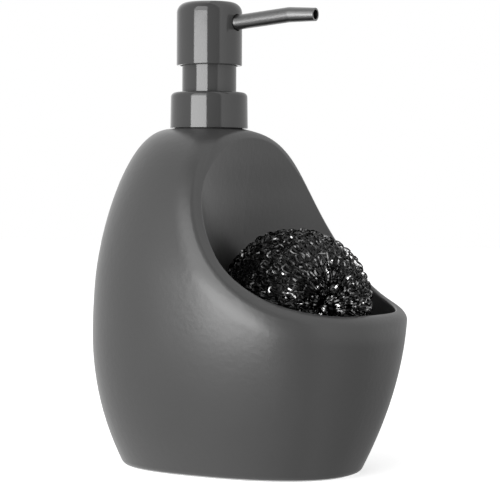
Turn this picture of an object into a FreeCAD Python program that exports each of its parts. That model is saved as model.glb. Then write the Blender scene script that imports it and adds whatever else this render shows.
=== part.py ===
import FreeCAD, Part
import math
import os

# Soap pump caddy: a glazed ceramic egg with a pouch in its front, a lotion pump and a scourer.
# Millimetres, +Z up, origin under the middle of the body. The pouch and the spout face -Y.

Vector = FreeCAD.Vector

# Ceramic body. Its level sections are ovals, described by how far they reach to the front, back and sides.
BODY_HEIGHT = 139.0
BASE_FRONT = 47.1
BASE_BACK = 53.8
BASE_HALF_WIDTH = 34.0
BELLY_FRONT = 64.0
BELLY_BACK = 63.75
BELLY_HALF_WIDTH = 56.2
FRONT_BELLY_HEIGHT = 66.0
BACK_BELLY_HEIGHT = 48.0
SIDE_BELLY_HEIGHT = 78.0
LAND_RADIUS = 13.9
BODY_SQUARENESS = 0.4
FRONT_FULLNESS = (1.94, 2.0, 1.3)
BACK_FULLNESS = (2.25, 1.35, 2.6)
SIDE_FULLNESS = (1.91, 1.62, 1.95)
BODY_SECTIONS = 24
SECTION_CROWDING = 1.6
OVAL_POINTS = 16
WALL = 5.0
FOOT_EDGE_ROUND = 4.0
FOOT_WIDTH = 7.0
FOOT_RECESS = 1.2

# Scoop that opens the front: a quarter of an oval in side view, with its vertical end at the land.
RIM_HEIGHT = 65.0
SCOOP_BACK = -1.5
SCOOP_FRONT = -67.0
SCOOP_FULLNESS = 2.25
SCOOP_POINTS = 9
LIP_WIDTH = 5.2
LIP_SIDE_WIDTH = 2.8
LIP_OUTER_ROUND = 4.0
LIP_INNER_ROUND = 1.0

# Pouch: it follows the outside at one lip's width in front and is a half oval at the back.
POUCH_FLOOR = 40.0
POUCH_BACK = 3.9
POUCH_SIDE = -24.1
POUCH_FLOOR_ROUND = 12.0
POUCH_LEAN_HEIGHT = 88.0
POUCH_LEAN = 0.115
POUCH_FLARE_RISE = 1.0
POUCH_FLARE_SAMPLES = 20
POUCH_STEP = 10.0
POUCH_EDGE_STEPS = 4

# Neck: a threaded insert glued into the ceramic, with a 24 mm continuous thread.
PUMP_Y = 19.5
GLUE_GAP = 0.15
NECK_SPIGOT_RADIUS = 12.3
NECK_SPIGOT_DEPTH = 10.0
NECK_FLANGE_RADIUS = 13.8
NECK_FLANGE_THICKNESS = 1.2
NECK_BORE_RADIUS = 9.0
NECK_HEIGHT = 7.8
SEAL_THICKNESS = 0.8
THREAD_RADIUS = 11.85
THREAD_ROOT_RADIUS = 10.75
THREAD_PITCH = 3.175
THREAD_TURNS = 1.25
THREAD_ROOT_WIDTH = 1.7
THREAD_CREST_WIDTH = 0.8
THREAD_START = 1.6
THREAD_SINK = 0.25
THREAD_CLEARANCE = 0.3

# Clearances between pieces that move on each other
SLIDE_CLEARANCE = 0.3
PISTON_CLEARANCE = 0.12
FACE_CLEARANCE = 0.05
SWIVEL_CLEARANCE = 0.05
COLLAR_LIFT = 0.3
HEAD_STOP_CLEARANCE = 1.5
HUB_STOP_CLEARANCE = 1.35
BLOCK_STOP_CLEARANCE = 0.7

# Collar: screw cap, outer shell and guide sleeve
GASKET_THICKNESS = 0.8
GASKET_RADIUS = 10.9
CAP_RADIUS = 14.2
CAP_PLATE = 1.2
SHELL_BOTTOM_RADIUS = 16.05
SHELL_TOP_RADIUS = 15.8
SHELL_PLATE = 1.2
SHELL_EDGE_ROUND = 2.0
SLEEVE_RADIUS = 11.2
SLEEVE_WALL = 1.3
SLEEVE_FLANGE_RADIUS = 13.0
SLEEVE_FLANGE_THICKNESS = 0.8
SLEEVE_RISE = 13.0
SLEEVE_EDGE_ROUND = 0.5

# Pump barrel and what works in it
BARREL_RADIUS = 8.6
BARREL_BORE_RADIUS = 7.4
BARREL_FLANGE_RADIUS = 11.8
BARREL_FLANGE_THICKNESS = 1.2
BARREL_TURRET = 5.4
BARREL_LENGTH = 36.6
BARREL_TAPER = 5.0
BALL_CHAMBER_DEPTH = 7.0
BALL_SEAT_DEPTH = 2.0
INLET_RADIUS = 1.8
INLET_LENGTH = 2.0
SOCKET_RADIUS = 5.0
SOCKET_DEPTH = 8.0
INLET_BALL_RADIUS = 3.0
BALL_SIDE_CLEARANCE = 0.6
BALL_SEAT_CLEARANCE = 0.1
CAGE_THICKNESS = 1.5
CAGE_HOLE_RADIUS = 1.4
CAGE_SLOTS = 3
CAGE_SLOT_RADIUS = 0.6
CAGE_SLOT_PLACE = 2.6
GUIDE_PLUG = 9.0
GUIDE_FLANGE_RADIUS = 9.3
GUIDE_FLANGE_THICKNESS = 1.2
PISTON_HEIGHT = 9.0
PISTON_WAIST_RADIUS = 6.3
PISTON_LIP_HEIGHT = 1.6
PISTON_SOCKET_DEPTH = 6.5
STEM_RADIUS = 3.5
STEM_BORE_RADIUS = 2.2
SPRING_RADIUS = 5.4
SPRING_WIRE = 1.1
SPRING_COILS = 6
DIP_TUBE_RADIUS = 3.0
DIP_TUBE_BORE_RADIUS = 2.2
DIP_TUBE_FOOT_GAP = 2.5
DIP_TUBE_CUT = 2.5

# Head
HEAD_RADIUS = 13.5
HEAD_WALL = 1.5
HEAD_HEIGHT = 26.0
HEAD_TOP = 2.0
HEAD_EDGE_ROUND = 4.4
HEAD_RIM_ROUND = 0.4
HEAD_STROKE = 9.5
CORE_HUB_RADIUS = 5.8
CORE_BLOCK_HEIGHT = 10.5
OUTLET_BALL_RADIUS = 1.9
OUTLET_CHAMBER_RADIUS = 2.3
OUTLET_SEAT_RADIUS = 1.3
OUTLET_CHAMBER_DEPTH = 3.2
OUTLET_SEAT_DEPTH = 1.5
OUTLET_NECK = 2.0
CORE_PASSAGE_RADIUS = 1.4
CORE_CROSS_RADIUS = 1.8

# Spout: a straight run, a slight bend and a tapered end, in the plane of symmetry
SPOUT_RADIUS = 3.05
SPOUT_WALL = 0.7
SPOUT_TIP_RADIUS = 2.65
SPOUT_ROOT_REACH = 3.0
SPOUT_BEND_REACH = 37.8
SPOUT_TIP_REACH = 50.0
SPOUT_RISE_ANGLE = 4.9
SPOUT_FALL_ANGLE = 1.9
SPOUT_BEND_RADIUS = 12.0
SPOUT_HEIGHT = 17.3
SPOUT_HOLE_CLEARANCE = 0.45
SPOUT_RING_WIRE = 0.6
SPOUT_RING_REACH = 9.3

# Scourer: a ball with a gathered dimple at each end of its axis
SCRUBBER_RADIUS = 29.0
SCRUBBER_HALF_LENGTH = 27.0
SCRUBBER_DIMPLE_RADIUS = 9.0
SCRUBBER_DIMPLE_DEPTH = 6.0
SCRUBBER_X = -2.5
SCRUBBER_Y = -25.2
SCRUBBER_AXIS = Vector(-0.488, -0.871, -0.07)
SCRUBBER_GAP = 0.3
SCRUBBER_STEPS = 6

# How closely an edge has to follow two skins to be their crossing, and halvings of a search
EDGE_SAMPLES = 9
ON_SKIN = 0.02
SEARCH_STEPS = 40

# Levels of the pump's stack, worked out upwards from the land
SEAL_TOP = BODY_HEIGHT + SEAL_THICKNESS
NECK_FOOT = SEAL_TOP + NECK_FLANGE_THICKNESS
NECK_TOP = NECK_FOOT + NECK_HEIGHT
GASKET_TOP = NECK_TOP + GASKET_THICKNESS
BARREL_FLANGE_TOP = GASKET_TOP + BARREL_FLANGE_THICKNESS
CAP_UNDERSIDE = BARREL_FLANGE_TOP + FACE_CLEARANCE
CAP_TOP = CAP_UNDERSIDE + CAP_PLATE
SLEEVE_FLANGE_TOP = CAP_TOP + SLEEVE_FLANGE_THICKNESS
COLLAR_TOP = SLEEVE_FLANGE_TOP + SHELL_PLATE
SLEEVE_TOP = COLLAR_TOP + SLEEVE_RISE
TURRET_TOP = BARREL_FLANGE_TOP + BARREL_TURRET
GUIDE_BOTTOM = TURRET_TOP - GUIDE_PLUG
GUIDE_TOP = TURRET_TOP + GUIDE_FLANGE_THICKNESS
PISTON_TOP = GUIDE_BOTTOM - SLIDE_CLEARANCE
PISTON_BOTTOM = PISTON_TOP - PISTON_HEIGHT
BARREL_FLOOR = GASKET_TOP - BARREL_LENGTH
BALL_SEAT_TOP = BARREL_FLOOR - BALL_CHAMBER_DEPTH + BALL_SEAT_DEPTH
BALL_SEAT_BOTTOM = BALL_SEAT_TOP - BALL_SEAT_DEPTH
SOCKET_TOP = BALL_SEAT_BOTTOM - INLET_LENGTH
SOCKET_BOTTOM = SOCKET_TOP - SOCKET_DEPTH
CAGE_TOP = BARREL_FLOOR + CAGE_THICKNESS
HEAD_BOTTOM = COLLAR_TOP + HEAD_STROKE + HEAD_STOP_CLEARANCE
HEAD_CROWN = HEAD_BOTTOM + HEAD_HEIGHT
HEAD_BORE_RADIUS = HEAD_RADIUS - HEAD_WALL
BLOCK_BOTTOM = SLEEVE_TOP + HEAD_STROKE + BLOCK_STOP_CLEARANCE
BLOCK_TOP = BLOCK_BOTTOM + CORE_BLOCK_HEIGHT
HUB_BOTTOM = GUIDE_TOP + HEAD_STROKE + HUB_STOP_CLEARANCE
STEM_TOP = BLOCK_BOTTOM
STEM_BOTTOM = PISTON_TOP - PISTON_SOCKET_DEPTH
RESERVOIR_FLOOR = WALL + FOOT_RECESS


def swell(height, base, belly, land, belly_height, fullness):
    """Reach of the outline at a height: out from the base to the belly, then in to the land."""
    low_power, high_power, high_root = fullness
    if height <= belly_height:
        drop = (belly_height - height) / belly_height
        return belly - (belly - base) * drop ** low_power
    climb = min((height - belly_height) / (BODY_HEIGHT - belly_height), 1.0)
    return land + (belly - land) * (1.0 - climb ** high_power) ** (1.0 / high_root)


def front_y(height):
    return -swell(height, BASE_FRONT, BELLY_FRONT, LAND_RADIUS - PUMP_Y, FRONT_BELLY_HEIGHT, FRONT_FULLNESS)


def back_y(height):
    return swell(height, BASE_BACK, BELLY_BACK, LAND_RADIUS + PUMP_Y, BACK_BELLY_HEIGHT, BACK_FULLNESS)


def half_width(height):
    return swell(height, BASE_HALF_WIDTH, BELLY_HALF_WIDTH, LAND_RADIUS, SIDE_BELLY_HEIGHT, SIDE_FULLNESS)


def closed_curve(points):
    """A smooth closed wire through points that go once round."""
    curve = Part.BSplineCurve()
    steps = [index / len(points) for index in range(len(points) + 1)]
    curve.interpolate(points, PeriodicFlag=True, Parameters=steps)
    return Part.Wire([curve.toShape()])


def turns(count):
    return [2.0 * math.pi * index / count for index in range(count)]


def oval_power(height):
    """Power of the body's oval: fuller than an ellipse's up to the belly, then an ellipse's at the land."""
    climb = max(height - SIDE_BELLY_HEIGHT, 0.0) / (BODY_HEIGHT - SIDE_BELLY_HEIGHT)
    return 2.0 + BODY_SQUARENESS * (1.0 - min(climb, 1.0) ** 2)


def oval_share(angle, power):
    """How far out a point at an angle stands, as a share of an ellipse's."""
    return (abs(math.sin(angle)) ** power + abs(math.cos(angle)) ** power) ** (-1.0 / power)


def oval(front, back, half, height, power):
    """A level oval from front to back, with its first point at the back."""
    middle = (front + back) / 2.0
    reach = (back - front) / 2.0
    points = []
    for angle in turns(OVAL_POINTS):
        share = oval_share(angle, power)
        points.append(Vector(half * share * math.sin(angle), middle + reach * share * math.cos(angle), height))
    return closed_curve(points)


def crowded_levels(bottom, top):
    """Heights that crowd together towards the top, where the dome turns level."""
    levels = []
    for index in range(BODY_SECTIONS + 1):
        left = (1.0 - index / BODY_SECTIONS) ** SECTION_CROWDING
        levels.append(top - (top - bottom) * left)
    return levels


def egg(inset, bottom, top):
    """The body's outside, or with an inset the space inside a wall of that thickness."""
    wires = []
    for height in crowded_levels(bottom, top):
        level = height + inset * height / BODY_HEIGHT
        wires.append(oval(front_y(level) + inset, back_y(level) - inset, half_width(level) - inset, height,
                          oval_power(level)))
    return Part.makeLoft(wires, True, False)


def scoop(grow):
    """The bar, lying along X, that opens the front of the egg: a quarter oval with a square top corner."""
    reach = SCOOP_BACK - SCOOP_FRONT + grow
    drop = BODY_HEIGHT - RIM_HEIGHT + grow
    points = []
    for index in range(SCOOP_POINTS):
        angle = math.pi / 2.0 * index / (SCOOP_POINTS - 1)
        across = abs(math.cos(angle)) ** (2.0 / SCOOP_FULLNESS)
        down = abs(math.sin(angle)) ** (2.0 / SCOOP_FULLNESS)
        points.append(Vector(0, SCOOP_FRONT + reach * across, BODY_HEIGHT - drop * down))
    curve = Part.BSplineCurve()
    curve.interpolate(points, InitialTangent=Vector(0, 0, -1), FinalTangent=Vector(0, -1, 0))
    above = Vector(0, 0, drop)
    corners = [points[-1], points[-1] + above * 2.0, points[0] + above, points[0]]
    face = Part.Face(Part.Wire([curve.toShape()] + Part.makePolygon(corners).Edges))
    clear = 2.0 * BELLY_HALF_WIDTH
    face.translate(Vector(-clear, 0, 0))
    return face.extrude(Vector(2.0 * clear, 0, 0))


def inside_point(angle, height, inset):
    """A point of the body's oval at an angle from the back, moved in square to the oval."""
    middle = (front_y(height) + back_y(height)) / 2.0
    reach = (back_y(height) - front_y(height)) / 2.0
    half = half_width(height)
    power = oval_power(height)
    share = oval_share(angle, power)
    across = math.copysign(abs(math.sin(angle)) ** (power - 1.0), math.sin(angle))
    along = math.copysign(abs(math.cos(angle)) ** (power - 1.0), math.cos(angle))
    normal = Vector(reach * across, half * along, 0).normalize()
    return Vector(half * share * math.sin(angle), middle + reach * share * math.cos(angle), 0) - normal * inset


def side_angle(height, inset):
    """Angle from the back at which the inset oval passes the pouch's widest place."""
    low, high = math.pi / 2.0, math.pi
    for _ in range(SEARCH_STEPS):
        middle = (low + high) / 2.0
        if inside_point(middle, height, inset).y > POUCH_SIDE:
            low = middle
        else:
            high = middle
    return low


def rim_y(height):
    """Where the scoop stands at a height over the rim."""
    down = (BODY_HEIGHT - height) / (BODY_HEIGHT - RIM_HEIGHT)
    return SCOOP_FRONT + (SCOOP_BACK - SCOOP_FRONT) * (1.0 - down ** SCOOP_FULLNESS) ** (1.0 / SCOOP_FULLNESS)


def pouch_back(height):
    return POUCH_BACK - POUCH_LEAN * max(height - POUCH_LEAN_HEIGHT, 0.0)


def pouch_flare():
    """The strongest flare of the pouch's sides that leaves the lip its width there, all along the scoop."""
    half = inside_point(side_angle(RIM_HEIGHT, LIP_WIDTH), RIM_HEIGHT, LIP_WIDTH).x
    flares = []
    for index in range(1, POUCH_FLARE_SAMPLES):
        rise = (BODY_HEIGHT - RIM_HEIGHT) * index / POUCH_FLARE_SAMPLES
        height = RIM_HEIGHT + rise
        middle = (front_y(height) + back_y(height)) / 2.0
        reach = (back_y(height) - front_y(height)) / 2.0
        power = oval_power(height)
        outside = half_width(height) * (1.0 - abs((rim_y(height) - middle) / reach) ** power) ** (1.0 / power)
        across = (rim_y(height) - POUCH_SIDE) / (pouch_back(height) - POUCH_SIDE)
        if 0.0 < across < 1.0:
            needed = (outside - LIP_SIDE_WIDTH) / math.sqrt(1.0 - across ** 2)
            flares.append((needed - half) / (rise - POUCH_FLARE_RISE) ** 2)
    return min(flares)


def pouch_outline(height, grow, drawn_in, flare):
    """Level outline of the pouch: half an oval at the back, and one lip inside the outside in front."""
    level = min(height, RIM_HEIGHT)
    inset = LIP_WIDTH - grow + drawn_in
    joint = side_angle(level, inset)
    half = inside_point(joint, level, inset).x
    flared = half + flare * max(height - RIM_HEIGHT - POUCH_FLARE_RISE, 0.0) ** 2
    back = pouch_back(height) + grow - drawn_in
    points = []
    for angle in turns(OVAL_POINTS):
        side = 1.0 if angle <= math.pi else -1.0
        away = angle if angle <= math.pi else 2.0 * math.pi - angle
        if away <= math.pi / 2.0:
            spot = Vector(flared * math.sin(away), POUCH_SIDE + (back - POUCH_SIDE) * math.cos(away), 0)
        else:
            share = away / (math.pi / 2.0) - 1.0
            spot = inside_point(joint + (math.pi - joint) * share, level, inset)
            spot.x *= flared / half
        points.append(Vector(side * spot.x, spot.y, height))
    return closed_curve(points)


def pouch(grow):
    """The pouch as a solid with a rounded floor edge, or with a growth the pouch and its wall."""
    bottom = POUCH_FLOOR - grow
    top = BODY_HEIGHT + POUCH_STEP
    edge = POUCH_FLOOR_ROUND + grow
    flare = pouch_flare()
    wires = []
    for step in range(POUCH_EDGE_STEPS):
        angle = math.pi / 2.0 * step / POUCH_EDGE_STEPS
        height = bottom + edge * (1.0 - math.cos(angle))
        wires.append(pouch_outline(height, grow, edge * (1.0 - math.sin(angle)), flare))
    count = round((top - bottom - edge) / POUCH_STEP)
    for index in range(count + 1):
        wires.append(pouch_outline(bottom + edge + (top - bottom - edge) * index / count, grow, 0.0, flare))
    return Part.makeLoft(wires, True, False)


def level_edges(shape, height):
    """Edges of a shape that lie flat at a height."""
    found = []
    for edge in shape.Edges:
        box = edge.BoundBox
        if abs(box.ZMin - height) < ON_SKIN and abs(box.ZMax - height) < ON_SKIN:
            found.append(edge)
    return found


def on_pump_axis(shape):
    shape.translate(Vector(0, PUMP_Y, 0))
    return shape


def rod(radius, bottom, top):
    return on_pump_axis(Part.makeCylinder(radius, top - bottom, Vector(0, 0, bottom)))


def ring(outer, inner, bottom, top):
    return rod(outer, bottom, top).cut(rod(inner, bottom, top))


def turned(corners):
    """A solid turned about the pump's axis from corners given as (radius, height)."""
    points = [Vector(radius, 0, height) for radius, height in corners]
    face = Part.Face(Part.makePolygon(points + points[:1]))
    return on_pump_axis(face.revolve(Vector(0, 0, 0), Vector(0, 0, 1), 360.0))


def ball(radius, height):
    return on_pump_axis(Part.makeSphere(radius, Vector(0, 0, height)))


def thread_ridge(root, crest, start):
    """A right-handed ridge that stands on a wall at the root radius and reaches the crest radius."""
    sink = THREAD_SINK if root < crest else -THREAD_SINK
    corners = [
        Vector(root - sink, 0, -THREAD_ROOT_WIDTH / 2.0),
        Vector(crest, 0, -THREAD_CREST_WIDTH / 2.0),
        Vector(crest, 0, THREAD_CREST_WIDTH / 2.0),
        Vector(root - sink, 0, THREAD_ROOT_WIDTH / 2.0),
    ]
    section = Part.makePolygon(corners + corners[:1])
    path = Part.makeHelix(THREAD_PITCH, THREAD_PITCH * THREAD_TURNS, root)
    ridge = Part.Wire(path.Edges).makePipeShell([section], True, True)
    ridge.translate(Vector(0, PUMP_Y, start))
    return ridge


def seat_height(ball_radius, small, large, bottom, depth):
    """Height of a ball's centre when it lies just clear of a conical seat."""
    slope = math.atan2(large - small, depth)
    return bottom + (ball_radius + BALL_SEAT_CLEARANCE) / math.sin(slope) - small / math.tan(slope)


def edges_where_meet(shape, first, second):
    """Edges of a shape that run where the skins of two other solids cross."""
    found = []
    for edge in shape.Edges:
        spots = [Part.Vertex(point) for point in edge.discretize(EDGE_SAMPLES)]
        skins = [first.Shells[0], second.Shells[0]]
        if all(skin.distToShape(spot)[0] < ON_SKIN for skin in skins for spot in spots):
            found.append(edge)
    return found


def ceramic_body():
    outside = egg(0.0, 0.0, BODY_HEIGHT)
    opening = scoop(0.0)
    pouch_space = pouch(0.0)
    body = outside.cut(opening)
    body = body.makeFillet(LIP_OUTER_ROUND, edges_where_meet(body, outside, opening))
    body = body.makeFillet(FOOT_EDGE_ROUND, level_edges(body, 0.0))
    body = body.cut(pouch_space)
    body = body.makeFillet(LIP_INNER_ROUND, edges_where_meet(body, pouch_space, opening))
    ceiling = BODY_HEIGHT - WALL
    reservoir = egg(WALL, RESERVOIR_FLOOR, ceiling).cut(pouch(WALL)).cut(scoop(WALL))
    neck_hole = rod(NECK_SPIGOT_RADIUS + GLUE_GAP, ceiling - WALL, BODY_HEIGHT + WALL)
    recess_wires = []
    for height in (-FOOT_RECESS, FOOT_RECESS):
        recess_wires.append(oval(-BASE_FRONT + FOOT_WIDTH, BASE_BACK - FOOT_WIDTH,
                                 BASE_HALF_WIDTH - FOOT_WIDTH, height, oval_power(0.0)))
    foot_recess = Part.makeLoft(recess_wires, True, True)
    return body.cut(reservoir).cut(neck_hole).cut(foot_recess)


def neck_insert():
    flange = ring(NECK_FLANGE_RADIUS, NECK_BORE_RADIUS, SEAL_TOP, NECK_FOOT)
    spigot = ring(NECK_SPIGOT_RADIUS, NECK_BORE_RADIUS, BODY_HEIGHT - NECK_SPIGOT_DEPTH, SEAL_TOP)
    tube = ring(THREAD_ROOT_RADIUS, NECK_BORE_RADIUS, NECK_FOOT, NECK_TOP)
    ridge = thread_ridge(THREAD_ROOT_RADIUS, THREAD_RADIUS, NECK_FOOT + THREAD_START)
    return flange.fuse([spigot, tube, ridge]).removeSplitter()


def neck_seal():
    return ring(NECK_FLANGE_RADIUS, NECK_SPIGOT_RADIUS, BODY_HEIGHT, SEAL_TOP)


def screw_cap():
    bore = THREAD_RADIUS + THREAD_CLEARANCE
    skirt = ring(CAP_RADIUS, bore, NECK_FOOT + SLIDE_CLEARANCE, CAP_TOP)
    plate = ring(CAP_RADIUS, BARREL_RADIUS + SLIDE_CLEARANCE, CAP_UNDERSIDE, CAP_TOP)
    start = NECK_FOOT + THREAD_START + THREAD_PITCH / 2.0
    ridge = thread_ridge(bore, THREAD_ROOT_RADIUS + THREAD_CLEARANCE, start)
    return skirt.fuse([plate, ridge]).removeSplitter()


def collar_shell():
    bottom = BODY_HEIGHT + COLLAR_LIFT
    outside = on_pump_axis(Part.makeCone(SHELL_BOTTOM_RADIUS, SHELL_TOP_RADIUS, COLLAR_TOP - bottom,
                                         Vector(0, 0, bottom)))
    outside = outside.makeFillet(SHELL_EDGE_ROUND, level_edges(outside, COLLAR_TOP))
    inside = rod(CAP_RADIUS, bottom, SLEEVE_FLANGE_TOP)
    return outside.cut(inside).cut(rod(SLEEVE_RADIUS, SLEEVE_FLANGE_TOP, COLLAR_TOP))


def guide_sleeve():
    outside = rod(SLEEVE_RADIUS, CAP_TOP, SLEEVE_TOP)
    outside = outside.makeFillet(SLEEVE_EDGE_ROUND, level_edges(outside, SLEEVE_TOP))
    flange = rod(SLEEVE_FLANGE_RADIUS, CAP_TOP, SLEEVE_FLANGE_TOP)
    return outside.fuse(flange).removeSplitter().cut(rod(SLEEVE_RADIUS - SLEEVE_WALL, CAP_TOP, SLEEVE_TOP))


def flange_gasket():
    return ring(GASKET_RADIUS, NECK_BORE_RADIUS, NECK_TOP, GASKET_TOP)


def ball_chamber_radius():
    return INLET_BALL_RADIUS + BALL_SIDE_CLEARANCE


def pump_cylinder():
    return turned([
        (BARREL_BORE_RADIUS, TURRET_TOP),
        (BARREL_RADIUS, TURRET_TOP),
        (BARREL_RADIUS, BARREL_FLANGE_TOP),
        (BARREL_FLANGE_RADIUS, BARREL_FLANGE_TOP),
        (BARREL_FLANGE_RADIUS, GASKET_TOP),
        (BARREL_RADIUS, GASKET_TOP),
        (BARREL_RADIUS, BARREL_FLOOR),
        (SOCKET_RADIUS, BARREL_FLOOR - BARREL_TAPER),
        (SOCKET_RADIUS, SOCKET_BOTTOM),
        (DIP_TUBE_RADIUS, SOCKET_BOTTOM),
        (DIP_TUBE_RADIUS, SOCKET_TOP),
        (INLET_RADIUS, SOCKET_TOP),
        (INLET_RADIUS, BALL_SEAT_BOTTOM),
        (ball_chamber_radius(), BALL_SEAT_TOP),
        (ball_chamber_radius(), BARREL_FLOOR),
        (BARREL_BORE_RADIUS, BARREL_FLOOR),
    ])


def stem_guide():
    plug = rod(BARREL_BORE_RADIUS, GUIDE_BOTTOM, TURRET_TOP)
    flange = rod(GUIDE_FLANGE_RADIUS, TURRET_TOP, GUIDE_TOP)
    return plug.fuse(flange).cut(rod(STEM_RADIUS + SLIDE_CLEARANCE, GUIDE_BOTTOM, GUIDE_TOP))


def piston():
    lip = BARREL_BORE_RADIUS - PISTON_CLEARANCE
    socket = STEM_RADIUS + SWIVEL_CLEARANCE
    floor = STEM_BOTTOM - FACE_CLEARANCE
    return turned([
        (socket, PISTON_TOP),
        (lip, PISTON_TOP),
        (lip, PISTON_TOP - PISTON_LIP_HEIGHT),
        (PISTON_WAIST_RADIUS, PISTON_TOP - 2.0 * PISTON_LIP_HEIGHT),
        (PISTON_WAIST_RADIUS, PISTON_BOTTOM + 2.0 * PISTON_LIP_HEIGHT),
        (lip, PISTON_BOTTOM + PISTON_LIP_HEIGHT),
        (lip, PISTON_BOTTOM),
        (STEM_BORE_RADIUS, PISTON_BOTTOM),
        (STEM_BORE_RADIUS, floor),
        (socket, floor),
    ])


def stem():
    chamber = STEM_TOP - OUTLET_CHAMBER_DEPTH
    seat = chamber - OUTLET_SEAT_DEPTH
    return turned([
        (STEM_BORE_RADIUS, STEM_BOTTOM),
        (STEM_RADIUS, STEM_BOTTOM),
        (STEM_RADIUS, STEM_TOP),
        (OUTLET_CHAMBER_RADIUS, STEM_TOP),
        (OUTLET_CHAMBER_RADIUS, chamber),
        (OUTLET_SEAT_RADIUS, seat),
        (OUTLET_SEAT_RADIUS, seat - OUTLET_NECK),
        (STEM_BORE_RADIUS, seat - OUTLET_NECK),
    ])


def outlet_ball():
    seat = STEM_TOP - OUTLET_CHAMBER_DEPTH - OUTLET_SEAT_DEPTH
    height = seat_height(OUTLET_BALL_RADIUS, OUTLET_SEAT_RADIUS, OUTLET_CHAMBER_RADIUS, seat, OUTLET_SEAT_DEPTH)
    return ball(OUTLET_BALL_RADIUS, height)


def inlet_ball():
    height = seat_height(INLET_BALL_RADIUS, INLET_RADIUS, ball_chamber_radius(), BALL_SEAT_BOTTOM, BALL_SEAT_DEPTH)
    return ball(INLET_BALL_RADIUS, height)


def valve_cage():
    plate = ring(BARREL_BORE_RADIUS, CAGE_HOLE_RADIUS, BARREL_FLOOR, CAGE_TOP)
    for angle in turns(CAGE_SLOTS):
        slot = rod(CAGE_SLOT_RADIUS, BARREL_FLOOR, CAGE_TOP)
        slot.translate(Vector(CAGE_SLOT_PLACE * math.cos(angle), CAGE_SLOT_PLACE * math.sin(angle), 0))
        plate = plate.cut(slot)
    return plate


def return_spring():
    """A compression spring between the cage and the piston."""
    inset = SPRING_WIRE / 2.0 + FACE_CLEARANCE
    bottom = CAGE_TOP + inset
    height = PISTON_BOTTOM - inset - bottom
    path = Part.makeHelix(height / SPRING_COILS, height, SPRING_RADIUS)
    circle = Part.makeCircle(SPRING_WIRE / 2.0, Vector(SPRING_RADIUS, 0, 0), Vector(0, 1, 0))
    wire = Part.Wire(path.Edges).makePipeShell([Part.Wire([circle])], True, True)
    wire.translate(Vector(0, PUMP_Y, bottom))
    return wire


def dip_tube():
    """The tube down to the reservoir's floor, with its foot cut on the slant."""
    bottom = RESERVOIR_FLOOR + DIP_TUBE_FOOT_GAP
    tube = ring(DIP_TUBE_RADIUS, DIP_TUBE_BORE_RADIUS, bottom, SOCKET_TOP)
    clear = 2.0 * DIP_TUBE_RADIUS
    low = bottom - DIP_TUBE_CUT / 2.0
    high = low + 2.0 * DIP_TUBE_CUT
    corners = [
        Vector(-clear, PUMP_Y - clear, low),
        Vector(-clear, PUMP_Y + clear, low),
        Vector(-clear, PUMP_Y + clear, high),
    ]
    wedge = Part.Face(Part.makePolygon(corners + corners[:1])).extrude(Vector(2.0 * clear, 0, 0))
    return tube.cut(wedge)


def spout_direction(angle):
    lean = math.radians(angle)
    return Vector(0, -math.cos(lean), math.sin(lean))


def spout_point(reach):
    """A point on the spout's first run, at a level distance from the pump's axis."""
    rise = math.tan(math.radians(SPOUT_RISE_ANGLE))
    return Vector(0, PUMP_Y - reach, HEAD_BOTTOM + SPOUT_HEIGHT + (reach - HEAD_RADIUS) * rise)


def spout_rod(radius, tip_radius):
    """A solid along the spout's whole course: straight, bent, then tapered to the tip."""
    out = spout_direction(SPOUT_RISE_ANGLE)
    onward = spout_direction(-SPOUT_FALL_ANGLE)
    turn = SPOUT_RISE_ANGLE + SPOUT_FALL_ANGLE
    corner = spout_point(SPOUT_BEND_REACH)
    setback = SPOUT_BEND_RADIUS * math.tan(math.radians(turn / 2.0))
    root = spout_point(SPOUT_ROOT_REACH)
    bend_start = corner - out * setback
    bend_end = corner + onward * setback
    tip_run = (SPOUT_TIP_REACH - SPOUT_BEND_REACH) / math.cos(math.radians(SPOUT_FALL_ANGLE)) - setback
    first = Part.makeCylinder(radius, (bend_start - root).Length, root, out)
    centre = bend_start - Vector(0, out.z, -out.y) * SPOUT_BEND_RADIUS
    disc = Part.Face(Part.Wire([Part.makeCircle(radius, bend_start, out)]))
    bend = disc.revolve(centre, Vector(1, 0, 0), turn)
    last = Part.makeCone(radius, tip_radius, tip_run, bend_end, onward)
    return first.fuse([bend, last]).removeSplitter()


def spout():
    outside = spout_rod(SPOUT_RADIUS, SPOUT_TIP_RADIUS)
    return outside.cut(spout_rod(SPOUT_RADIUS - SPOUT_WALL, SPOUT_TIP_RADIUS - SPOUT_WALL))


def spout_seal():
    place = spout_point(SPOUT_RING_REACH)
    return Part.makeTorus(SPOUT_RADIUS + SPOUT_RING_WIRE, SPOUT_RING_WIRE, place,
                          spout_direction(SPOUT_RISE_ANGLE))


def head_core():
    hub = rod(CORE_HUB_RADIUS, HUB_BOTTOM, BLOCK_TOP)
    block = rod(HEAD_BORE_RADIUS, BLOCK_BOTTOM, BLOCK_TOP)
    out = spout_direction(SPOUT_RISE_ANGLE)
    root = spout_point(SPOUT_ROOT_REACH)
    spout_bore = Part.makeCylinder(SPOUT_RADIUS, HEAD_RADIUS, root, out)
    cross_bore = Part.makeCylinder(CORE_CROSS_RADIUS, SPOUT_ROOT_REACH + SPOUT_RADIUS, root, out * -1.0)
    groove = Part.makeCylinder(SPOUT_RADIUS + 2.0 * SPOUT_RING_WIRE, 2.0 * SPOUT_RING_WIRE,
                               spout_point(SPOUT_RING_REACH) - out * SPOUT_RING_WIRE, out)
    socket = rod(STEM_RADIUS, HUB_BOTTOM, STEM_TOP)
    passage = rod(CORE_PASSAGE_RADIUS, STEM_TOP, spout_point(0.0).z)
    return hub.fuse(block).removeSplitter().cut(socket).cut([spout_bore, groove]).cut([passage, cross_bore])


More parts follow.
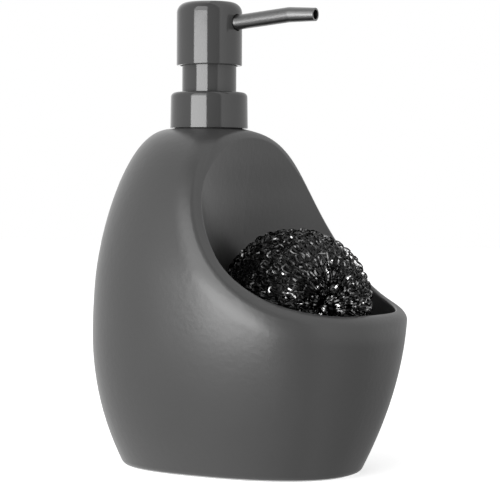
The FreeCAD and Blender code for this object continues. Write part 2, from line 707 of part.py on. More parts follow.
def head_shell():
    outside = rod(HEAD_RADIUS, HEAD_BOTTOM, HEAD_CROWN)
    outside = outside.makeFillet(HEAD_EDGE_ROUND, level_edges(outside, HEAD_CROWN))
    outside = outside.makeFillet(HEAD_RIM_ROUND, level_edges(outside, HEAD_BOTTOM))
    hole = Part.makeCylinder(SPOUT_RADIUS + SPOUT_HOLE_CLEARANCE, HEAD_RADIUS, spout_point(SPOUT_RING_REACH),
                             spout_direction(SPOUT_RISE_ANGLE))
    return outside.cut(rod(HEAD_BORE_RADIUS, HEAD_BOTTOM, HEAD_CROWN - HEAD_TOP)).cut(hole)


def scrubber():
    """A ball drawn in at both ends of its axis, standing on the pouch's floor."""
    half = []
    for step in range(SCRUBBER_STEPS + 1):
        angle = math.pi / 2.0 * step / SCRUBBER_STEPS
        radius = SCRUBBER_RADIUS * math.cos(angle)
        height = SCRUBBER_HALF_LENGTH * math.sin(angle)
        dimple = SCRUBBER_DIMPLE_DEPTH * math.exp(-(radius / SCRUBBER_DIMPLE_RADIUS) ** 2)
        half.append((radius, height - dimple))
    outline = [(radius, -height) for radius, height in reversed(half[1:])] + half
    curve = Part.BSplineCurve()
    curve.interpolate([Vector(radius, 0, height) for radius, height in outline],
                      InitialTangent=Vector(1, 0, 0), FinalTangent=Vector(-1, 0, 0))
    tops = [Vector(0, 0, outline[-1][1]), Vector(0, 0, outline[0][1])]
    face = Part.Face(Part.Wire([curve.toShape(), Part.makeLine(tops[0], tops[1])]))
    lump = face.revolve(Vector(0, 0, 0), Vector(0, 0, 1), 360.0)
    turn = FreeCAD.Rotation(Vector(0, 0, 1), SCRUBBER_AXIS)
    place = Vector(SCRUBBER_X, SCRUBBER_Y, POUCH_FLOOR + SCRUBBER_GAP + SCRUBBER_RADIUS)
    lump.Placement = FreeCAD.Placement(place, turn)
    return lump


PIECES = {
    "ceramic_body": ceramic_body,
    "neck_insert": neck_insert,
    "neck_seal": neck_seal,
    "screw_cap": screw_cap,
    "collar_shell": collar_shell,
    "guide_sleeve": guide_sleeve,
    "flange_gasket": flange_gasket,
    "pump_cylinder": pump_cylinder,
    "stem_guide": stem_guide,
    "piston": piston,
    "stem": stem,
    "return_spring": return_spring,
    "valve_cage": valve_cage,
    "inlet_ball": inlet_ball,
    "outlet_ball": outlet_ball,
    "dip_tube": dip_tube,
    "head_core": head_core,
    "head_shell": head_shell,
    "spout": spout,
    "spout_seal": spout_seal,
    "scrubber": scrubber,
}

os.makedirs("parts", exist_ok=True)
for name, make in PIECES.items():
    shape = make()
    if not shape.isValid() or len(shape.Solids) != 1:
        print(name, "is not one sound solid")
    print(name, round(shape.Volume / 1000.0, 2), "cubic centimetres")
    shape.exportStep("parts/" + name + ".step")
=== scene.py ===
import logging
import math
from dataclasses import dataclass
from enum import Enum
from typing import Union

import bmesh
import bpy
from mathutils import Matrix, Vector, noise


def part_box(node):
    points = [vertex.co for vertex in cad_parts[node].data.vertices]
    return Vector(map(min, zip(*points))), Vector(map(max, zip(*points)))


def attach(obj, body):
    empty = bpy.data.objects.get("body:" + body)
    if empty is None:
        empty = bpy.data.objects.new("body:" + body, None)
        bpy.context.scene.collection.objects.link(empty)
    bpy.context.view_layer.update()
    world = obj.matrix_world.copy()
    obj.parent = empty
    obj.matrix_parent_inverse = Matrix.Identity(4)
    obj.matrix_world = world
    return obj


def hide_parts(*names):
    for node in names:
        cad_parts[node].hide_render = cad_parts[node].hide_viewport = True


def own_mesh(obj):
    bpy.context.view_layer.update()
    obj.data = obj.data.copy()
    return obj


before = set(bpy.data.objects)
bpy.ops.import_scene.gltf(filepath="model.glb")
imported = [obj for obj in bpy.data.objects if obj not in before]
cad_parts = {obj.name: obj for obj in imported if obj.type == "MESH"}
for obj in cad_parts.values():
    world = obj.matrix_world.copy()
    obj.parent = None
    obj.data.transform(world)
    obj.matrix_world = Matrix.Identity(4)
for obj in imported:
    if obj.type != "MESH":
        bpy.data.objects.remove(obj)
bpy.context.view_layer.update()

LOG = logging.getLogger("caddy")
MM = 0.001

# Places in the noise from which the ribbon's three ways of wandering are drawn
EAST_DRAW = Vector((11.0, 0.0, 0.0))
NORTH_DRAW = Vector((0.0, 17.0, 0.0))
OUT_DRAW = Vector((0.0, 0.0, 23.0))


class Node(Enum):
    """The CAD nodes, by the finish that they take."""

    GLAZED = ("ceramic_body",)
    GLOSSY = ("collar_shell", "guide_sleeve", "head_shell")
    MOULDED = ("neck_insert", "screw_cap", "pump_cylinder", "stem_guide", "piston", "stem", "valve_cage",
               "dip_tube", "head_core")
    RUBBER = ("neck_seal", "flange_gasket", "spout_seal")
    STEEL = ("return_spring", "inlet_ball", "outlet_ball")
    GUNMETAL = ("spout",)


class Value:
    """A number inside a shader. Python's operators on it add Math nodes."""

    def __init__(self, shader: "Shader", socket: bpy.types.NodeSocket) -> None:
        """Wraps a socket.

        Args:
            shader: the nodes that the number belongs to.
            socket: the output that carries the number.
        """
        self.shader = shader
        self.socket = socket

    def _with(self, operation: str, first: "Number", second: "Number") -> "Value":
        """Adds one Math node.

        Args:
            operation: the Math node's operation.
            first: its first input.
            second: its second input.

        Returns:
            The node's result.
        """
        node = self.shader.add("ShaderNodeMath", {"operation": operation}, {0: first, 1: second})
        return Value(self.shader, node.outputs[0])

    def __add__(self, other: "Number") -> "Value":
        """Sum."""
        return self._with("ADD", self, other)

    def __sub__(self, other: "Number") -> "Value":
        """Difference."""
        return self._with("SUBTRACT", self, other)

    def __rsub__(self, other: "Number") -> "Value":
        """Difference from a plain number."""
        return self._with("SUBTRACT", other, self)

    def __mul__(self, other: "Number") -> "Value":
        """Product."""
        return self._with("MULTIPLY", self, other)

    def __pow__(self, other: "Number") -> "Value":
        """Power."""
        return self._with("POWER", self, other)

    def at_least(self, other: "Number") -> "Value":
        """The larger of two numbers."""
        return self._with("MAXIMUM", self, other)

    def angle_from(self, other: "Number") -> "Value":
        """The angle of the arrow whose run is the other number and whose rise is this one."""
        return self._with("ARCTAN2", self, other)

    __radd__ = __add__
    __rmul__ = __mul__


Number = Union[float, int, Value]
Tone = tuple[float, float, float, float]
Paint = Union[Tone, bpy.types.NodeSocket]


def grey(level: float) -> Tone:
    """A neutral colour, given as linear light."""
    return (level, level, level, 1.0)


class Shader:
    """The nodes of one material or of the world."""

    def __init__(self, tree: bpy.types.NodeTree) -> None:
        """Takes over a node tree and empties it."""
        self.tree = tree
        tree.nodes.clear()

    def add(self, kind: str, settings: Union[dict, None] = None,
            inputs: Union[dict, None] = None) -> bpy.types.Node:
        """Adds a node.

        Args:
            kind: the node's type.
            settings: its properties, and under "stops" a ramp's positions and colours.
            inputs: values, Values or sockets for its inputs, by name or number.

        Returns:
            The node.
        """
        node = self.tree.nodes.new(kind)
        for key, setting in (settings or {}).items():
            if key == "stops":
                self._set_stops(node.color_ramp, setting)
            else:
                setattr(node, key, setting)
        for key, given in (inputs or {}).items():
            if isinstance(given, Value):
                self.tree.links.new(given.socket, node.inputs[key])
            elif isinstance(given, bpy.types.NodeSocket):
                self.tree.links.new(given, node.inputs[key])
            else:
                node.inputs[key].default_value = given
        return node

    @staticmethod
    def _set_stops(ramp: bpy.types.ColorRamp, stops: list[tuple[float, Tone]]) -> None:
        """Sets a ramp's stops.

        Args:
            ramp: the ramp.
            stops: pairs of position and colour, at least two.
        """
        while len(ramp.elements) < len(stops):
            ramp.elements.new(1.0)
        for element, (place, tone) in zip(ramp.elements, stops):
            element.position = place
            element.color = tone

    def place(self) -> bpy.types.NodeSocket:
        """The point on the piece, in metres."""
        return self.add("ShaderNodeTexCoord").outputs["Object"]

    def grain(self, scale: float, detail: float = 2.0, stretch: Union[Vector, None] = None) -> Value:
        """Soft random tone from 0 to 1.

        Args:
            scale: features per metre.
            detail: octaves of finer detail.
            stretch: scale along each axis, for streaks.

        Returns:
            The tone.
        """
        where = self.place()
        if stretch is not None:
            where = self.add("ShaderNodeMapping", None, {"Vector": where, "Scale": stretch}).outputs[0]
        node = self.add("ShaderNodeTexNoise", None, {"Vector": where, "Scale": scale, "Detail": detail})
        return Value(self, node.outputs[0])

    def blend(self, share: Number, first: Paint, second: Paint) -> bpy.types.NodeSocket:
        """Mixes two colours.

        Args:
            share: how much of the second shows.
            first: the first colour.
            second: the second colour.

        Returns:
            The mixed colour.
        """
        node = self.add("ShaderNodeMix", {"data_type": "RGBA"}, {0: share, 6: first, 7: second})
        return node.outputs[2]

    def reach(self, arrow: bpy.types.NodeSocket, way: Vector) -> Value:
        """How far an arrow reaches along a direction."""
        node = self.add("ShaderNodeVectorMath", {"operation": "DOT_PRODUCT"}, {0: arrow, 1: way})
        return Value(self, node.outputs["Value"])

    def ramp(self, tone: Value, low: float, high: float) -> Value:
        """Stretches a tone so that low becomes 0 and high becomes 1, with limits."""
        node = self.add("ShaderNodeMapRange", None, {"Value": tone, "From Min": low, "From Max": high})
        return Value(self, node.outputs[0])

    def bump(self, height: Value, depth: float,
             over: Union[bpy.types.NodeSocket, None] = None) -> bpy.types.NodeSocket:
        """A normal from a height.

        Args:
            height: the height, from 0 to 1.
            depth: how deep 1 is, in metres.
            over: a normal that this one is laid over.

        Returns:
            The normal.
        """
        node = self.add("ShaderNodeBump", None, {"Height": height, "Distance": depth, "Strength": 1.0})
        if over is not None:
            self.tree.links.new(over, node.inputs["Normal"])
        return node.outputs[0]

    def surface(self, inputs: dict) -> None:
        """Ends a material in one principled shader.

        Args:
            inputs: the shader's inputs.
        """
        shader = self.add("ShaderNodeBsdfPrincipled", None, inputs)
        self.add("ShaderNodeOutputMaterial", None, {"Surface": shader.outputs[0]})


def new_material(name: str) -> tuple[bpy.types.Material, Shader]:
    """An empty material with its nodes."""
    material = bpy.data.materials.new(name)
    material.use_nodes = True
    return material, Shader(material.node_tree)


@dataclass(frozen=True)
class SatinGlaze:
    """Dark satin glaze, drawn in towards the pouch's edge, with a bare foot.

    The scoop's sizes are its front and back, the heights of its rim and top, and how full its curve is.
    """

    name: str = "satin_glaze"
    scoop_y: tuple[float, float] = (-67.0 * MM, -1.5 * MM)
    scoop_z: tuple[float, float] = (65.0 * MM, 139.0 * MM)
    scoop_fullness: float = 2.25
    pouch_middle: float = -24.0 * MM
    roll_width: float = 11.0 * MM
    roll_depth: float = 2.4 * MM
    tone: float = 0.04
    drift: float = 0.004
    speck: float = 0.008
    roughness: float = 0.34
    roughness_drift: float = 0.05
    refraction: float = 1.55
    cloud_scale: float = 22.0
    speck_scale: float = 2600.0
    speck_range: tuple[float, float] = (0.66, 0.74)
    speck_share: float = 0.5
    peel_scale: float = 420.0
    peel_depth: float = 0.06 * MM
    foot_line: float = 0.9 * MM
    foot_fade: float = 0.6
    foot_tone: float = 0.5
    foot_drift: float = 0.06
    foot_roughness: float = 0.4
    side_fade: float = 10.0 * MM

    def material(self) -> bpy.types.Material:
        """Makes the material.

        Returns:
            The glaze.
        """
        material, shader = new_material(self.name)
        cloud = shader.grain(self.cloud_scale, 3.0)
        fine = shader.grain(self.speck_scale, 1.0)
        place = shader.add("ShaderNodeSeparateXYZ", None, {0: shader.place()})
        x, y, z = [Value(shader, socket) for socket in place.outputs]
        bare = 1.0 - shader.ramp(z, self.foot_fade * self.foot_line, self.foot_line)
        rolled = shader.bump(1.0 - self._roll(shader, x, y, z), self.roll_depth)
        glaze = shader.blend(cloud, grey(self.tone - self.drift), grey(self.tone + self.drift))
        dots = shader.ramp(fine, *self.speck_range) * self.speck_share
        dotted = shader.blend(dots, glaze, grey(self.tone + self.speck))
        foot_dark = grey(self.foot_tone - self.foot_drift)
        foot_light = grey(self.foot_tone + self.foot_drift)
        clay = shader.blend(fine, foot_dark, foot_light)
        shader.surface({
            "Base Color": shader.blend(bare, dotted, clay),
            "Roughness": self.roughness + (cloud - 0.5) * self.roughness_drift + bare * self.foot_roughness,
            "Normal": shader.bump(shader.grain(self.peel_scale, 2.0), self.peel_depth, rolled),
            "IOR": self.refraction,
        })
        return material

    def _roll(self, shader: Shader, x: Value, y: Value, z: Value) -> Value:
        """How far the outside has turned in towards the pouch's edge.

        Args:
            shader: the glaze's nodes.
            x: the point's place across the body.
            y: its place from front to back.
            z: its height.

        Returns:
            0 away from the edge and inside the pouch, and 1 at the edge.
        """
        reach = self.scoop_y[1] - self.scoop_y[0]
        drop = self.scoop_z[1] - self.scoop_z[0]
        along = ((y - self.scoop_y[0]) * (1.0 / reach)).at_least(0.0)
        down = ((self.scoop_z[1] - z) * (1.0 / drop)).at_least(0.0)
        beyond = (along ** self.scoop_fullness + down ** self.scoop_fullness) ** (1.0 / self.scoop_fullness)
        away = (beyond - 1.0).at_least(0.0) * (0.5 * (reach + drop) / self.roll_width)
        near = (1.0 - away).at_least(0.0)
        facing = shader.add("ShaderNodeNewGeometry").outputs["Normal"]
        normal = shader.add("ShaderNodeSeparateXYZ", None, {0: facing})
        nx, ny, _ = [Value(shader, socket) for socket in normal.outputs]
        outside = nx * x + ny * (y - self.pouch_middle)
        return near * near * shader.ramp(outside, 0.0, self.side_fade)


@dataclass(frozen=True)
class GlossPlastic:
    """Polished moulded plastic."""

    name: str = "gloss_plastic"
    tone: float = 0.036
    roughness: float = 0.1
    tone_drift: float = 0.07
    cloud_scale: float = 60.0
    rub_scale: float = 900.0
    rub_drift: float = 0.05
    ripple_scale: float = 160.0
    ripple_depth: float = 0.02 * MM
    refraction: float = 1.55

    def material(self) -> bpy.types.Material:
        """Makes the material.

        Returns:
            The plastic.
        """
        material, shader = new_material(self.name)
        cloud = shader.grain(self.cloud_scale, 2.0)
        rub = shader.grain(self.rub_scale, 4.0)
        dark = grey(self.tone * (1.0 - self.tone_drift))
        light = grey(self.tone * (1.0 + self.tone_drift))
        shader.surface({
            "Base Color": shader.blend(cloud, dark, light),
            "Roughness": self.roughness + (rub - 0.5) * self.rub_drift,
            "Normal": shader.bump(shader.grain(self.ripple_scale, 1.0), self.ripple_depth),
            "IOR": self.refraction,
        })
        return material


@dataclass(frozen=True)
class Moulding:
    """Natural, slightly waxy moulded plastic or rubber of one tone."""

    name: str
    tone: float
    roughness: float
    tone_range: tuple[float, float] = (0.9, 1.08)
    cloud_scale: float = 140.0
    fine_scale: float = 3200.0
    fine_drift: float = 0.1
    fine_depth: float = 0.03 * MM

    def material(self) -> bpy.types.Material:
        """Makes the material.

        Returns:
            The moulding's finish.
        """
        material, shader = new_material(self.name)
        cloud = shader.grain(self.cloud_scale, 3.0)
        fine = shader.grain(self.fine_scale, 2.0)
        dark, light = [grey(self.tone * share) for share in self.tone_range]
        shader.surface({
            "Base Color": shader.blend(cloud, dark, light),
            "Roughness": self.roughness + (fine - 0.5) * self.fine_drift,
            "Normal": shader.bump(fine, self.fine_depth),
        })
        return material


@dataclass(frozen=True)
class Metal:
    """Drawn metal with fine streaks along one axis."""

    name: str
    tone: float
    roughness: float
    streak: tuple[float, float, float]
    tone_range: tuple[float, float] = (0.85, 1.15)
    cloud_scale: float = 90.0
    streak_share: float = 0.6
    streak_drift: float = 0.12
    streak_depth: float = 0.01 * MM

    def material(self) -> bpy.types.Material:
        """Makes the material.

        Returns:
            The metal.
        """
        material, shader = new_material(self.name)
        lines = shader.grain(1.0, 3.0, Vector(self.streak))
        cloud = shader.grain(self.cloud_scale, 2.0)
        mixed = lines * self.streak_share + cloud * (1.0 - self.streak_share)
        dark, light = [grey(self.tone * share) for share in self.tone_range]
        shader.surface({
            "Base Color": shader.blend(mixed, dark, light),
            "Metallic": 1.0,
            "Roughness": self.roughness + (lines - 0.5) * self.streak_drift,
            "Normal": shader.bump(lines, self.streak_depth),
        })
        return material


@dataclass(frozen=True)
class RibbonMetal:
    """Flat metal ribbon, darkened, with bright worn places."""

    name: str = "ribbon_metal"
    dark: float = 0.045
    bright: float = 0.48
    roughness: float = 0.12
    patch_scale: float = 320.0
    patch_range: tuple[float, float] = (0.54, 0.66)
    fine_scale: float = 5200.0
    fine_drift: float = 0.16
    dent_scale: float = 1500.0
    dent_depth: float = 0.08 * MM

    def material(self) -> bpy.types.Material:
        """Makes the material.

        Returns:
            The ribbon's finish.
        """
        material, shader = new_material(self.name)
        patch = shader.ramp(shader.grain(self.patch_scale, 2.0), *self.patch_range)
        fine = shader.grain(self.fine_scale, 2.0)
        shader.surface({
            "Base Color": shader.blend(patch, grey(self.dark), grey(self.bright)),
            "Metallic": 1.0,
            "Roughness": self.roughness + (fine - 0.5) * self.fine_drift,
            "Normal": shader.bump(shader.grain(self.dent_scale, 2.0), self.dent_depth),
        })
        return material


def new_piece(name: str, shape: bmesh.types.BMesh, material: bpy.types.Material) -> bpy.types.Object:
    """Turns a bmesh into a piece at the origin.

    Args:
        name: the piece's name.
        shape: its shape, which is freed.
        material: its finish.

    Returns:
        The piece.
    """
    mesh = bpy.data.meshes.new(name)
    shape.to_mesh(mesh)
    shape.free()
    mesh.materials.append(material)
    piece = bpy.data.objects.new(name, mesh)
    bpy.context.scene.collection.objects.link(piece)
    return piece


def dress(names: tuple[str, ...], material: bpy.types.Material) -> None:
    """Gives CAD nodes a finish.

    Args:
        names: the nodes.
        material: their finish.
    """
    for name in names:
        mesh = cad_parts[name].data
        mesh.materials.clear()
        mesh.materials.append(material)
        LOG.info("dressed %s in %s", name, material.name)


@dataclass
class Caddy:
    """The ceramic and the pump, whose shapes come from the CAD."""

    glaze: SatinGlaze = SatinGlaze()
    gloss: GlossPlastic = GlossPlastic()
    inner: Moulding = Moulding("natural_plastic", 0.72, 0.42)
    rubber: Moulding = Moulding("seal_rubber", 0.03, 0.6)
    steel: Metal = Metal("bright_steel", 0.55, 0.22, (400.0, 400.0, 3000.0))
    gunmetal: Metal = Metal("gunmetal", 0.2, 0.32, (2400.0, 40.0, 2400.0))

    def dress(self) -> None:
        """Gives each CAD node its finish."""
        dress(Node.GLAZED.value, self.glaze.material())
        dress(Node.GLOSSY.value, self.gloss.material())
        dress(Node.MOULDED.value, self.inner.material())
        dress(Node.RUBBER.value, self.rubber.material())
        dress(Node.STEEL.value, self.steel.material())
        dress(Node.GUNMETAL.value, self.gunmetal.material())


@dataclass
class ReturnSpring:
    """The pump's spring, a coil of round wire that shortens as the head goes down."""

    node: str = "return_spring"
    body: str = "pump"
    slot: str = "steel"
    joint: str = "head_press"
    stroke: float = 9.5 * MM
    coils: int = 6
    coil_radius: float = 5.4 * MM
    wire_radius: float = 0.55 * MM
    coil_steps: int = 48
    sides: int = 12
    finish: Metal = Metal("spring_wire", 0.55, 0.22, (400.0, 400.0, 3000.0))

    def build(self) -> None:
        """Winds the spring between its seats."""
        low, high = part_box(self.node)
        self.foot = Vector(((low.x + high.x) / 2.0, (low.y + high.y) / 2.0, low.z))
        self.rise = high.z - low.z - 2.0 * self.wire_radius
        piece = new_piece("spring_coil", self._wind(), self.finish.material())
        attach(piece, self.body)
        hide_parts(self.node)
        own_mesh(piece)
        LOG.info("built %s with %d faces", piece.name, len(piece.data.polygons))

    def _wind(self) -> bmesh.types.BMesh:
        """The wire, as a grid rolled round the coil's middle line.

        Returns:
            The closed wire.
        """
        shape = bmesh.new()
        bmesh.ops.create_grid(shape, x_segments=self.coils * self.coil_steps, y_segments=self.sides, size=0.5)
        for vertex in shape.verts:
            vertex.co = self._on_wire(vertex.co.x + 0.5, 2.0 * math.pi * (vertex.co.y + 0.5))
        bmesh.ops.remove_doubles(shape, verts=shape.verts[:], dist=1e-7)
        open_edges = [edge for edge in shape.edges if edge.is_boundary]
        bmesh.ops.holes_fill(shape, edges=open_edges, sides=self.sides)
        bmesh.ops.recalc_face_normals(shape, faces=shape.faces[:])
        for face in shape.faces:
            face.smooth = len(face.verts) == 4
        return shape

    def _on_wire(self, way: float, angle: float) -> Vector:
        """A point of the wire's skin.

        Args:
            way: how far along the wire, from 0 to 1.
            angle: angle round the wire.

        Returns:
            The point.
        """
        turn = 2.0 * math.pi * self.coils * way
        out = Vector((math.cos(turn), math.sin(turn), 0.0))
        pitch = self.rise / (2.0 * math.pi * self.coils * self.coil_radius)
        along = Vector((-out.y, out.x, pitch)).normalized()
        across = out * math.cos(angle) + out.cross(along) * math.sin(angle)
        middle = out * self.coil_radius + Vector((0.0, 0.0, self.wire_radius + self.rise * way))
        return self.foot + middle + across * self.wire_radius


class Layer(Enum):
    """Layers of the scourer: how large, how far turned and how loose each is."""

    OUTER = (1.0, 0.0, 1.0)
    MIDDLE = (0.85, 1.9, 1.3)
    INNER = (0.7, 4.1, 1.5)


@dataclass
class Scourer:
    """A ball of knitted metal ribbon, drawn in to a funnel at both ends of its axis."""

    node: str = "scrubber"
    body: str = "scrubber"
    slot: str = "scourer_metal"
    axis: tuple[float, float, float] = (-0.488, -0.871, -0.07)
    ring_radius: float = 13.0 * MM
    ring_wall: float = 14.6 * MM
    half_length: float = 25.6 * MM
    funnel_angle: float = 139.0
    shift: tuple[float, float, float] = (-0.6 * MM, 0.9 * MM, 1.0 * MM)
    courses: int = 21
    stitches: int = 34
    stitch_steps: int = 14
    loop_height: float = 5.8 * MM
    loop_depth: float = 0.45 * MM
    loop_neck: float = 0.16
    swirl: float = 0.9
    wander: float = 1.5 * MM
    lift: float = 0.5 * MM
    twist: float = 2.1
    ribbon_width: float = 0.62 * MM
    ribbon_thickness: float = 0.08 * MM
    crease_angle: float = 0.7
    look_ahead: float = 0.12
    twist_scales: tuple[float, float] = (330.0, 110.0)
    wander_scale: float = 160.0
    swell_scale: float = 420.0
    swell_share: float = 0.5
    core_share: float = 0.58
    core_length_share: float = 0.55
    core_divisions: int = 5
    core_ruffle: float = 0.08
    core_ruffle_scale: float = 9.0
    finish: RibbonMetal = RibbonMetal()
    # A darker copy of the ribbon metal for the layers deep in the ball: painted shade, since they are the
    # same metal as the outer layer.
    painted_shade_finish: RibbonMetal = RibbonMetal(name="ribbon_metal_painted_shade", dark=0.05, bright=0.12, roughness=0.4)

    def build(self) -> None:
        """Makes the layers and the core, and puts them in place of the CAD lump."""
        low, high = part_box(self.node)
        self.centre = (low + high) / 2.0 + Vector(self.shift)
        self.turn = Vector((0.0, 0.0, 1.0)).rotation_difference(Vector(self.axis)).to_matrix()
        # The middle and inner layers and the core take the darker copy of the ribbon metal: painted shade for
        # the inside of the ball.
        painted_shade_metal = self.painted_shade_finish.material()
        pieces = [self._knit(Layer.OUTER, self.finish.material())]
        pieces.append(self._knit(Layer.MIDDLE, painted_shade_metal))
        pieces.append(self._knit(Layer.INNER, painted_shade_metal))
        pieces.append(self._core(painted_shade_metal))
        for piece in pieces:
            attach(piece, self.body)
            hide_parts(self.node)
            LOG.info("built %s with %d faces", piece.name, len(piece.data.polygons))

    def _skin(self, along: float, around: float, share: float) -> tuple[Vector, Vector, Vector, Vector]:
        """A place on the ball.

        Args:
            along: place along a meridian, from -1 to 1.
            around: angle about the axis.
            share: size of the layer.

        Returns:
            The point, the direction round the axis, the direction along the meridian and the outward normal.
        """
        beta = along * math.radians(self.funnel_angle)
        wall = self.ring_wall - self.ring_radius * (1.0 - share)
        radius = self.ring_radius + wall * math.cos(beta)
        height = self.half_length * share * math.sin(beta)
        out = Vector((math.cos(around), math.sin(around), 0.0))
        east = Vector((-out.y, out.x, 0.0))
        slope = Vector((-wall * math.sin(beta), self.half_length * share * math.cos(beta)))
        slope.normalize()
        north = out * slope.x + Vector((0.0, 0.0, slope.y))
        return out * radius + Vector((0.0, 0.0, height)), east, north, east.cross(north)

    def _knit(self, layer: Layer, metal: bpy.types.Material) -> bpy.types.Object:
        """One knitted layer.

        Args:
            layer: which layer.
            metal: its finish.

        Returns:
            The piece.
        """
        whole = bpy.data.meshes.new("courses")
        shape = bmesh.new()
        for course in range(self.courses):
            ribbon = self._course(layer, course)
            ribbon.to_mesh(whole)
            ribbon.free()
            shape.from_mesh(whole)
        bpy.data.meshes.remove(whole)
        return new_piece("scourer_" + layer.name.lower(), shape, metal)

    def _course(self, layer: Layer, course: int) -> bmesh.types.BMesh:
        """One ring of stitches, made of a single ribbon.

        Args:
            layer: which layer it lies in.
            course: its number, counted from one end of the ball.

        Returns:
            The ribbon.
        """
        ribbon = bmesh.new()
        steps = self.stitches * self.stitch_steps
        bmesh.ops.create_grid(ribbon, x_segments=steps, y_segments=1, size=0.5)
        along = 2.0 * (course + 0.5) / self.courses - 1.0
        for vertex in ribbon.verts:
            side = 1.0 if vertex.co.y > 0.0 else -1.0
            vertex.co = self._on_ribbon(layer, along, vertex.co.x + 0.5, side)
        bmesh.ops.remove_doubles(ribbon, verts=ribbon.verts[:], dist=1e-7)
        bmesh.ops.recalc_face_normals(ribbon, faces=ribbon.faces[:])
        bmesh.ops.solidify(ribbon, geom=ribbon.faces[:], thickness=self.ribbon_thickness)
        for face in ribbon.faces:
            face.smooth = True
        for edge in ribbon.edges:
            edge.smooth = edge.calc_face_angle(0.0) < self.crease_angle
        return ribbon

    def _on_ribbon(self, layer: Layer, along: float, way: float, side: float) -> Vector:
        """A point of a course's ribbon.

        Args:
            layer: which layer.
            along: the course's place along a meridian, from -1 to 1.
            way: how far round the course, from 0 to 1.
            side: which edge of the ribbon, -1 or 1.

        Returns:
            The point.
        """
        middle = self._thread(layer, along, way)
        ahead = self._thread(layer, along, way + self.look_ahead / (self.stitches * self.stitch_steps))
        tangent = (ahead - middle).normalized()
        local = self.turn.transposed() @ (middle - self.centre)
        out = self.turn @ self._outward(local)
        flat = tangent.cross(out).normalized()
        near, far = self.twist_scales
        angle = self.twist * noise.noise(local * near + Vector((layer.value[1] * 7.0, along * 5.0, 0.0)))
        angle += self.twist * noise.noise(local * far)
        across = flat * math.cos(angle) + tangent.cross(flat) * math.sin(angle)
        return middle + across * (side * self.ribbon_width / 2.0)

    def _outward(self, local: Vector) -> Vector:
        """A direction that points out of the ball, at a point given from its centre."""
        flat = Vector((local.x, local.y, 0.0))
        ring = flat.normalized() * self.ring_radius
        return (local - ring).normalized()

    def _thread(self, layer: Layer, along: float, way: float) -> Vector:
        """A point of a course's middle line: knitted loops that wander a little.

        Args:
            layer: which layer.
            along: the course's place along a meridian, from -1 to 1.
            way: how far round the course, from 0 to 1.

        Returns:
            The point.
        """
        share, phase, loose = layer.value
        turn = 2.0 * math.pi * way
        step = turn * self.stitches
        pitch = 2.0 * math.pi / self.stitches
        around = turn + pitch * self.loop_neck * math.sin(2.0 * step) + phase + self.swirl * along
        spot, east, north, out = self._skin(along, around, share)
        place = spot * self.wander_scale + Vector((phase, 3.0 * phase, along))
        rough = spot * self.swell_scale + Vector((5.0 * phase, phase, 2.0 * along))
        swell = 1.0 + self.swell_share * noise.noise(rough)
        spot = spot + north * (-0.5 * self.loop_height * swell * math.cos(step))
        spot = spot + out * (self.loop_depth * math.cos(2.0 * step) * swell)
        spot = spot + east * (loose * self.wander * noise.noise(place + EAST_DRAW))
        spot = spot + north * (loose * self.wander * noise.noise(place + NORTH_DRAW))
        spot = spot + out * (loose * self.lift * noise.noise(place + OUT_DRAW))
        return self.turn @ spot + self.centre

    def _core(self, metal: bpy.types.Material) -> bpy.types.Object:
        """The crumpled inside, which shows only as dark between the ribbons; its darkened finish is painted
        shade.

        Args:
            metal: its finish.

        Returns:
            The piece.
        """
        # A closed lump in the darker ribbon finish: painted shade between the ribbons.
        shape = bmesh.new()
        bmesh.ops.create_icosphere(shape, subdivisions=self.core_divisions, radius=1.0)
        across = (self.ring_radius + self.ring_wall) * self.core_share
        size = Vector((across, across, self.half_length * self.core_length_share))
        for vertex in shape.verts:
            ruffle = 1.0 + self.core_ruffle * noise.noise(vertex.co * self.core_ruffle_scale)
            vertex.co = self.turn @ (vertex.co * size * ruffle) + self.centre
        for face in shape.faces:
            face.smooth = True
        return new_piece("scourer_core", shape, metal)


@dataclass(frozen=True)
class Panel:
    """An upright rectangular light that faces the object.

    Its place is in degrees left of the camera, seen from the object, and the height of its middle. The
    radiance is how bright its face is, where 1 is white.
    """

    name: str
    left: float
    height: float
    size: tuple[float, float]
    radiance: float


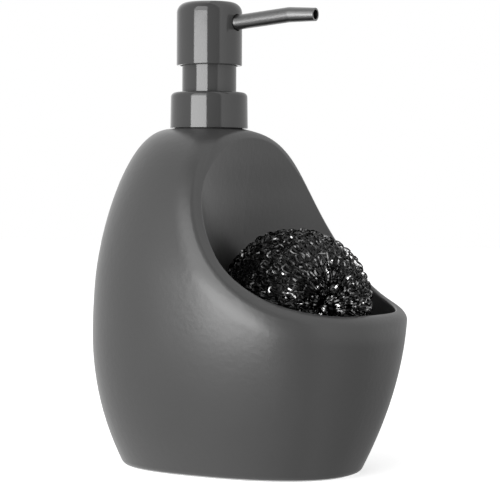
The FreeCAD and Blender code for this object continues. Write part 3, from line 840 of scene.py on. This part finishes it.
@dataclass
class Studio:
    """Floor, light and camera.

    The room is what shiny surfaces mirror: pairs of degrees right of the camera and brightness. Low down on
    the right it is shaded.
    """

    floor_size: float = 6.0
    floor_steps: int = 8
    floor_tone: float = 0.82
    floor_drift: float = 0.01
    floor_cloud_scale: float = 6.0
    floor_glow: float = 0.62
    sky_light: float = 0.62
    sky_tilt: float = 0.2
    room_light: float = 1.3
    low_shade: float = 2.4
    least_light: float = 0.5
    room: tuple[tuple[float, float], ...] = ((-180.0, 1.0), (-120.0, 0.6), (-60.0, 0.4), (-8.0, 0.19),
                                             (35.0, 0.19), (39.0, 0.78), (120.0, 0.7), (180.0, 0.46))
    panels: tuple[Panel, ...] = (Panel("left_box", 31.0, -0.1, (1.4, 0.9), 7.4),
                                 Panel("left_upper_box", 31.0, 1.19, (1.4, 1.68), 2.8))
    light_distance: float = 1.6
    forward: tuple[float, float, float] = (0.8544, 0.5197, 0.0)
    camera_place: tuple[float, float, float] = (-0.6704, -0.4030, 0.112)
    lens: float = 137.9
    sensor: float = 36.0
    yaw: float = -0.333
    pitch: float = -1.655
    roll: float = 0.28
    sight: tuple[float, float] = (0.05, 20.0)

    def build(self) -> None:
        """Sets the stage."""
        self._floor()
        self._world()
        for panel in self.panels:
            self._light(panel)
        self._camera()
        bpy.context.scene.view_settings.view_transform = "Standard"

    def _floor(self) -> None:
        """A pale floor that keeps the object's shadow and is white to the camera elsewhere."""
        material, shader = new_material("pale_floor")
        cloud = shader.grain(self.floor_cloud_scale, 2.0)
        dark = grey(self.floor_tone - self.floor_drift)
        light = grey(self.floor_tone + self.floor_drift)
        tone = shader.blend(cloud, dark, light)
        path = shader.add("ShaderNodeLightPath")
        seen = Value(shader, path.outputs["Is Camera Ray"])
        matt = shader.add("ShaderNodeBsdfDiffuse", None, {"Color": tone})
        glow = shader.add("ShaderNodeEmission", None, {"Strength": self.floor_glow})
        both = shader.add("ShaderNodeAddShader", None, {0: matt.outputs[0], 1: glow.outputs[0]})
        shown = shader.add("ShaderNodeMixShader", None, {0: seen, 1: matt.outputs[0], 2: both.outputs[0]})
        shader.add("ShaderNodeOutputMaterial", None, {"Surface": shown.outputs[0]})
        shape = bmesh.new()
        steps = self.floor_steps
        bmesh.ops.create_grid(shape, x_segments=steps, y_segments=steps, size=self.floor_size / 2.0)
        floor = new_piece("floor", shape, material)
        floor.visible_diffuse = False
        floor.visible_glossy = False
        floor.visible_shadow = False

    def _world(self) -> None:
        """White to the camera, a room of several tones to mirrors, and an even soft light elsewhere."""
        world = bpy.data.worlds.new("studio")
        bpy.context.scene.world = world
        world.use_nodes = True
        shader = Shader(world.node_tree)
        path = shader.add("ShaderNodeLightPath")
        seen = Value(shader, path.outputs["Is Camera Ray"])
        mirrored = Value(shader, path.outputs["Is Glossy Ray"])
        way = shader.add("ShaderNodeTexCoord").outputs["Generated"]
        forward = Vector(self.forward)
        up = Vector((0.0, 0.0, 1.0))
        aside = shader.reach(way, forward.cross(up))
        turn = aside.angle_from(shader.reach(way, -forward))
        stops = [(degrees / 360.0 + 0.5, grey(level)) for degrees, level in self.room]
        ring = shader.add("ShaderNodeValToRGB", {"stops": stops}, {0: turn * (0.5 / math.pi) + 0.5})
        low = shader.reach(way, -up).at_least(0.0) * aside.at_least(0.0)
        reflected = Value(shader, ring.outputs[0]) * self.room_light
        reflected = reflected * (1.0 - low * self.low_shade).at_least(self.least_light)
        spread = (1.0 - aside * self.sky_tilt) * self.sky_light
        strength = seen + mirrored * reflected + (1.0 - (seen + mirrored)).at_least(0.0) * spread
        sky = shader.add("ShaderNodeBackground", None, {"Color": grey(1.0), "Strength": strength})
        shader.add("ShaderNodeOutputWorld", None, {"Surface": sky.outputs[0]})

    def _light(self, panel: Panel) -> None:
        """Sets up one light.

        Args:
            panel: the light.
        """
        light = bpy.data.lights.new(panel.name, "AREA")
        light.shape = "RECTANGLE"
        light.size, light.size_y = panel.size
        light.energy = panel.radiance * math.pi * light.size * light.size_y
        lamp = bpy.data.objects.new(panel.name, light)
        aim = Vector(self.forward) @ Matrix.Rotation(math.radians(panel.left), 3, "Z")
        lamp.location = aim * -self.light_distance + Vector((0.0, 0.0, panel.height))
        lamp.rotation_euler = aim.to_track_quat("-Z", "Y").to_euler()
        lamp.visible_camera = False
        bpy.context.scene.collection.objects.link(lamp)

    def _camera(self) -> None:
        """The camera at the photo's place and angle."""
        data = bpy.data.cameras.new("camera")
        data.lens = self.lens
        data.sensor_width = self.sensor
        data.clip_start, data.clip_end = self.sight
        camera = bpy.data.objects.new("camera", data)
        level = Vector(self.forward).to_track_quat("-Z", "Y").to_matrix()
        turn = Matrix.Rotation(math.radians(self.yaw), 3, "Y")
        turn = turn @ Matrix.Rotation(math.radians(self.pitch), 3, "X")
        turn = turn @ Matrix.Rotation(math.radians(self.roll), 3, "Z")
        camera.matrix_world = Matrix.Translation(Vector(self.camera_place)) @ (level @ turn).to_4x4()
        bpy.context.scene.collection.objects.link(camera)
        bpy.context.scene.camera = camera


def main() -> None:
    """Builds the scene."""
    logging.basicConfig(level=logging.INFO, format="%(message)s")
    Studio().build()
    Caddy().dress()
    ReturnSpring().build()
    Scourer().build()
    bpy.context.view_layer.update()


if __name__ == "__main__":
    main()
